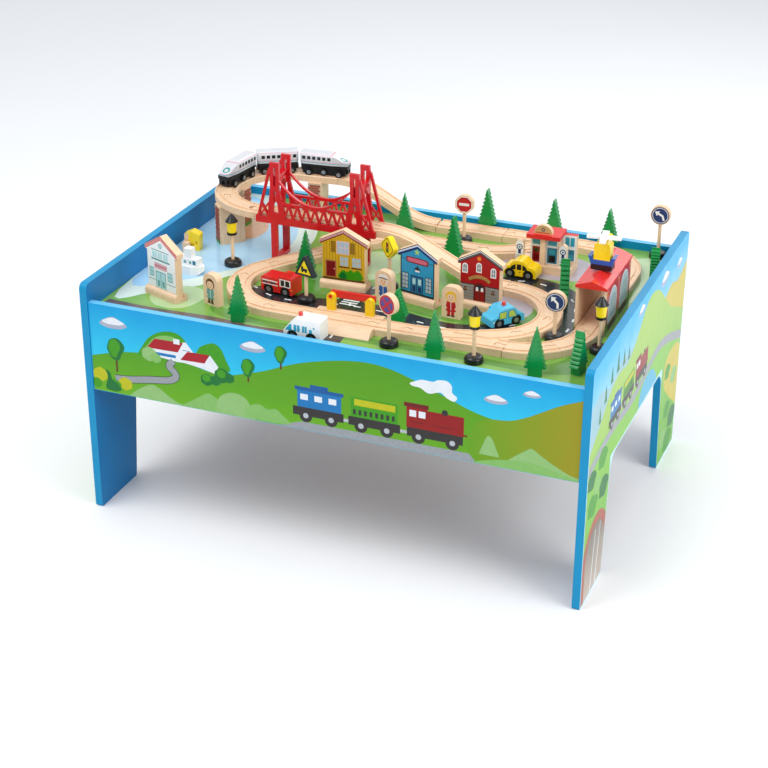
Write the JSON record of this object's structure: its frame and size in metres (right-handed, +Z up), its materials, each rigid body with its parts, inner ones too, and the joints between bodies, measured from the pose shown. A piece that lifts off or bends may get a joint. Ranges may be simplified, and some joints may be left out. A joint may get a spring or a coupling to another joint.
{
  "type": "wooden train set on a play table",
  "caption": "Play table with arched printed end panels and a wooden railway: raised loop, red suspension bridge, crossing, train, road vehicles, houses, signs and trees.",
  "frame": {"origin": "on the floor under the middle of the table", "axes": "+X along the table's length to its right end, +Y to the back, +Z up"},
  "size_m": [0.85, 0.602, 0.54],
  "materials": {
    "panel_print": "printed paper on fibreboard, satin",
    "apron_print": "printed paper on fibreboard, satin",
    "board_print": "printed paper on fibreboard, gloss",
    "pine": "bare",
    "zinc": "zinc plated",
    "beech": "lacquered, satin",
    "brick_print": "printed brick on wood",
    "bridge_red": "moulded, gloss",
    "gate_yellow": "painted, gloss",
    "gate_red": "painted, gloss",
    "train_white": "moulded, gloss",
    "train_black": "moulded, matte",
    "magnet_steel": "nickel plated",
    "train_wheel": "moulded, satin",
    "ambulance_white": "painted, gloss",
    "fire_red": "painted, gloss",
    "police_blue": "painted, gloss",
    "taxi_yellow": "painted, gloss",
    "road_wheel": "moulded, satin",
    "helicopter_paint": "painted, gloss",
    "rotor_white": "painted, gloss",
    "shed_print": "printed, satin",
    "roof_red": "painted, gloss",
    "station_paint": "painted and bare, satin",
    "house_print": "printed, satin",
    "post_wood": "painted base, bare dowel",
    "plate_wood": "printed, satin",
    "lamp_paint": "painted, gloss",
    "figure_print": "printed, satin",
    "fir_green": "painted, gloss",
    "harbour_paint": "painted, gloss"
  },
  "bodies": {
    "table": {"end_panel_left": "panel_print", "end_panel_right": "panel_print", "front_apron": "apron_print", "back_apron": "apron_print", "play_board": "board_print", "board_rails": "pine", "corner_bolts": "zinc", "straight_tracks": "beech", "curved_tracks": "beech", "turnout_tracks": "beech", "crossing_track": "beech", "raised_tracks": "beech", "ramp_tracks": "beech", "brick_piers": "brick_print", "bridge_sides": "bridge_red", "bridge_portals": "bridge_red", "gate_posts": "gate_yellow", "helicopter_body": "helicopter_paint", "shed_walls": "shed_print", "shed_roof": "roof_red", "fuel_station": "station_paint", "house_fronts": "house_print", "house_bases": "beech", "sign_posts": "post_wood", "sign_plates": "plate_wood", "street_lamps": "lamp_paint", "figure_blocks": "figure_print", "trees": "fir_green", "harbour_toys": "harbour_paint"},
    "lead_engine": {"lead_engine_body": "train_white", "lead_engine_chassis": "train_black", "lead_engine_magnet": "magnet_steel"},
    "lead_engine_axle_1": {"lead_engine_axle_1": "train_wheel"},
    "lead_engine_axle_2": {"lead_engine_axle_2": "train_wheel"},
    "lead_engine_axle_3": {"lead_engine_axle_3": "train_wheel"},
    "tail_engine": {"tail_engine_body": "train_white", "tail_engine_chassis": "train_black", "tail_engine_magnet": "magnet_steel"},
    "tail_engine_axle_1": {"tail_engine_axle_1": "train_wheel"},
    "tail_engine_axle_2": {"tail_engine_axle_2": "train_wheel"},
    "tail_engine_axle_3": {"tail_engine_axle_3": "train_wheel"},
    "coach": {"coach_body": "train_white", "coach_chassis": "train_black", "coach_magnets": "magnet_steel"},
    "coach_axle_1": {"coach_axle_1": "train_wheel"},
    "coach_axle_2": {"coach_axle_2": "train_wheel"},
    "ambulance": {"ambulance_body": "ambulance_white"},
    "ambulance_axle_1": {"ambulance_axle_1": "road_wheel"},
    "ambulance_axle_2": {"ambulance_axle_2": "road_wheel"},
    "fire_truck": {"fire_truck_body": "fire_red"},
    "fire_truck_axle_1": {"fire_truck_axle_1": "road_wheel"},
    "fire_truck_axle_2": {"fire_truck_axle_2": "road_wheel"},
    "police_car": {"police_car_body": "police_blue"},
    "police_car_axle_1": {"police_car_axle_1": "road_wheel"},
    "police_car_axle_2": {"police_car_axle_2": "road_wheel"},
    "taxi": {"taxi_body": "taxi_yellow"},
    "taxi_axle_1": {"taxi_axle_1": "road_wheel"},
    "taxi_axle_2": {"taxi_axle_2": "road_wheel"},
    "gate_arm": {"gate_arm": "gate_red"},
    "helicopter_rotor": {"helicopter_rotor": "rotor_white"}
  },
  "joints": [
    {"name": "train_run", "type": "hinge", "parent": "table", "child": "lead_engine", "pos_m": [-0.262, 0.127, 0.445], "axis": [0, 0, 1], "range_deg": [0, 60]},
    {"name": "lead_engine_axle_1_spin", "type": "hinge", "parent": "lead_engine", "child": "lead_engine_axle_1", "pos_m": [-0.3607, 0.11091, 0.4498], "axis": [0.9925, -0.1219, 0], "continuous": true},
    {"name": "lead_engine_axle_2_spin", "type": "hinge", "parent": "lead_engine", "child": "lead_engine_axle_2", "pos_m": [-0.35728, 0.1387, 0.452], "axis": [0.9925, -0.1219, 0], "continuous": true},
    {"name": "lead_engine_axle_3_spin", "type": "hinge", "parent": "lead_engine", "child": "lead_engine_axle_3", "pos_m": [-0.35387, 0.16649, 0.4498], "axis": [0.9925, -0.1219, 0], "continuous": true},
    {"name": "coach_run", "type": "hinge", "parent": "table", "child": "coach", "pos_m": [-0.262, 0.127, 0.445], "axis": [0, 0, 1], "range_deg": [0, 60]},
    {"name": "coach_axle_1_spin", "type": "hinge", "parent": "coach", "child": "coach_axle_1", "pos_m": [-0.33257, 0.19785, 0.4498], "axis": [0.515, -0.8572, 0], "continuous": true},
    {"name": "coach_axle_2_spin", "type": "hinge", "parent": "coach", "child": "coach_axle_2", "pos_m": [-0.29143, 0.22257, 0.4498], "axis": [0.515, -0.8572, 0], "continuous": true},
    {"name": "tail_run", "type": "slide", "parent": "table", "child": "tail_engine", "axis": [0.9957, 0.0924, 0], "range_m": [0, 0.012]},
    {"name": "tail_engine_axle_1_spin", "type": "hinge", "parent": "tail_engine", "child": "tail_engine_axle_1", "pos_m": [-0.19755, 0.23341, 0.4498], "axis": [-0.0924, 0.9957, 0], "continuous": true},
    {"name": "tail_engine_axle_2_spin", "type": "hinge", "parent": "tail_engine", "child": "tail_engine_axle_2", "pos_m": [-0.22543, 0.23082, 0.452], "axis": [-0.0924, 0.9957, 0], "continuous": true},
    {"name": "tail_engine_axle_3_spin", "type": "hinge", "parent": "tail_engine", "child": "tail_engine_axle_3", "pos_m": [-0.25331, 0.22823, 0.4498], "axis": [-0.0924, 0.9957, 0], "continuous": true},
    {"name": "ambulance_roll", "type": "slide", "parent": "table", "child": "ambulance", "axis": [-0.9994, 0.0349, 0], "range_m": [-0.06, 0.06]},
    {"name": "ambulance_axle_1_spin", "type": "hinge", "parent": "ambulance", "child": "ambulance_axle_1", "pos_m": [-0.06199, -0.26244, 0.37105], "axis": [-0.0349, -0.9994, 0], "continuous": true},
    {"name": "ambulance_axle_2_spin", "type": "hinge", "parent": "ambulance", "child": "ambulance_axle_2", "pos_m": [-0.03001, -0.26356, 0.37105], "axis": [-0.0349, -0.9994, 0], "continuous": true},
    {"name": "fire_truck_roll", "type": "slide", "parent": "table", "child": "fire_truck", "axis": [0.9903, -0.1392, 0], "range_m": [-0.012, 0]},
    {"name": "fire_truck_axle_1_spin", "type": "hinge", "parent": "fire_truck", "child": "fire_truck_axle_1", "pos_m": [-0.14016, -0.11623, 0.37105], "axis": [0.1392, 0.9903, 0], "continuous": true},
    {"name": "fire_truck_axle_2_spin", "type": "hinge", "parent": "fire_truck", "child": "fire_truck_axle_2", "pos_m": [-0.17184, -0.11177, 0.37105], "axis": [0.1392, 0.9903, 0], "continuous": true},
    {"name": "police_car_roll", "type": "slide", "parent": "table", "child": "police_car", "axis": [0.6157, 0.788, 0], "range_m": [-0.012, 0.012]},
    {"name": "police_car_axle_1_spin", "type": "hinge", "parent": "police_car", "child": "police_car_axle_1", "pos_m": [0.22885, -0.08139, 0.37105], "axis": [-0.788, 0.6157, 0], "continuous": true},
    {"name": "police_car_axle_2_spin", "type": "hinge", "parent": "police_car", "child": "police_car_axle_2", "pos_m": [0.20915, -0.10661, 0.37105], "axis": [-0.788, 0.6157, 0], "continuous": true},
    {"name": "taxi_roll", "type": "slide", "parent": "table", "child": "taxi", "axis": [-0.9994, 0.0349, 0], "range_m": [-0.05, 0]},
    {"name": "taxi_axle_1_spin", "type": "hinge", "parent": "taxi", "child": "taxi_axle_1", "pos_m": [0.17201, 0.10156, 0.37105], "axis": [-0.0349, -0.9994, 0], "continuous": true},
    {"name": "taxi_axle_2_spin", "type": "hinge", "parent": "taxi", "child": "taxi_axle_2", "pos_m": [0.20399, 0.10044, 0.37105], "axis": [-0.0349, -0.9994, 0], "continuous": true},
    {"name": "gate_lift", "type": "hinge", "parent": "table", "child": "gate_arm", "pos_m": [-0.042, -0.171, 0.399], "axis": [0, -1, 0], "range_deg": [0, 85]},
    {"name": "rotor_spin", "type": "hinge", "parent": "table", "child": "helicopter_rotor", "pos_m": [0.358, -0.026, 0.49], "axis": [0, 0, 1], "continuous": true}
  ],
  "couplings": [
    {"joint": "coach_run", "follows": "train_run", "ratio": 1}
  ]
}
